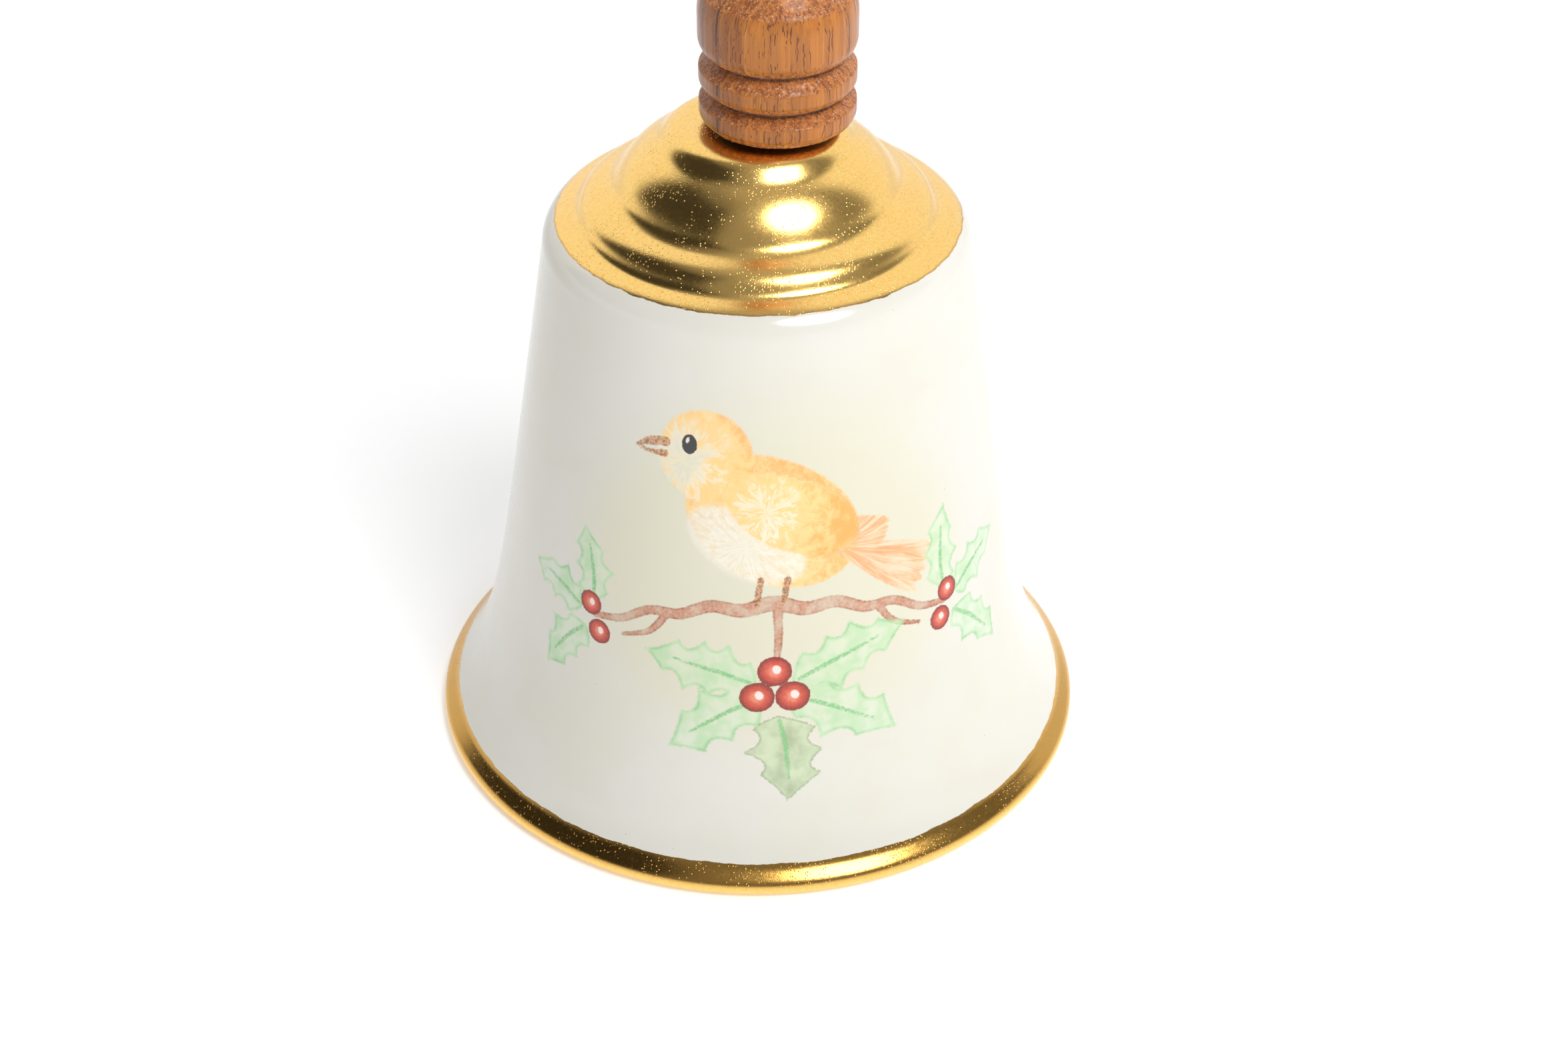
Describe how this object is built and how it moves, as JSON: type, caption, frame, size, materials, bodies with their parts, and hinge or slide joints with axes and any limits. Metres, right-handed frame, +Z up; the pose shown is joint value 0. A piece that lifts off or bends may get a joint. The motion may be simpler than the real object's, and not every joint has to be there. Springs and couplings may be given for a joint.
{
  "type": "hand bell",
  "caption": "Porcelain hand bell with a flared gilt lip, a stepped gilt crown, a turned oak handle and a wooden clapper on a short brass chain.",
  "frame": {"origin": "middle of the foot, on the surface the bell stands on", "axes": "+Z up along the bell's axis; -Y is the painted front; the handle stands a little to the +X side"},
  "size_m": [0.092, 0.092, 0.1965],
  "materials": {
    "porcelain": "glossy white glaze, gilt on the crown and lip",
    "oak": "stained and varnished, open grain",
    "leather": "plain",
    "felt": "pressed wool felt",
    "steel": "zinc plated",
    "brass": "satin",
    "beech": "oiled"
  },
  "bodies": {
    "bell": {"bell_shell": "porcelain", "handle": "oak", "leather_washer": "leather", "felt_washer": "felt", "clamp_washer": "steel", "screw_eye": "brass"},
    "link_1": {"chain_link_1": "brass"},
    "link_2": {"chain_link_2": "brass"},
    "link_3": {"chain_link_3": "brass"},
    "clapper": {"clapper_pin": "brass", "clapper_ball": "beech", "clapper_washer": "brass"}
  },
  "joints": [
    {"name": "chain_turn", "type": "hinge", "parent": "bell", "child": "link_1", "pos_m": [0.0027, 0, 0.0777], "axis": [0, 0, 1], "range_deg": [-32, 32]},
    {"name": "clapper_swing", "type": "hinge", "parent": "link_1", "child": "link_2", "pos_m": [0.0027, 0, 0.06743], "axis": [0, 1, 0], "range_deg": [-30.5, 38.3]},
    {"name": "link_3_turn", "type": "hinge", "parent": "link_2", "child": "link_3", "pos_m": [0.0027, 0, 0.0572], "axis": [0, 0, 1], "range_deg": [-40, 40]},
    {"name": "clapper_turn", "type": "hinge", "parent": "link_3", "child": "clapper", "pos_m": [0.0027, 0, 0.0466], "axis": [0, 0, 1], "range_deg": [-36, 36]}
  ]
}
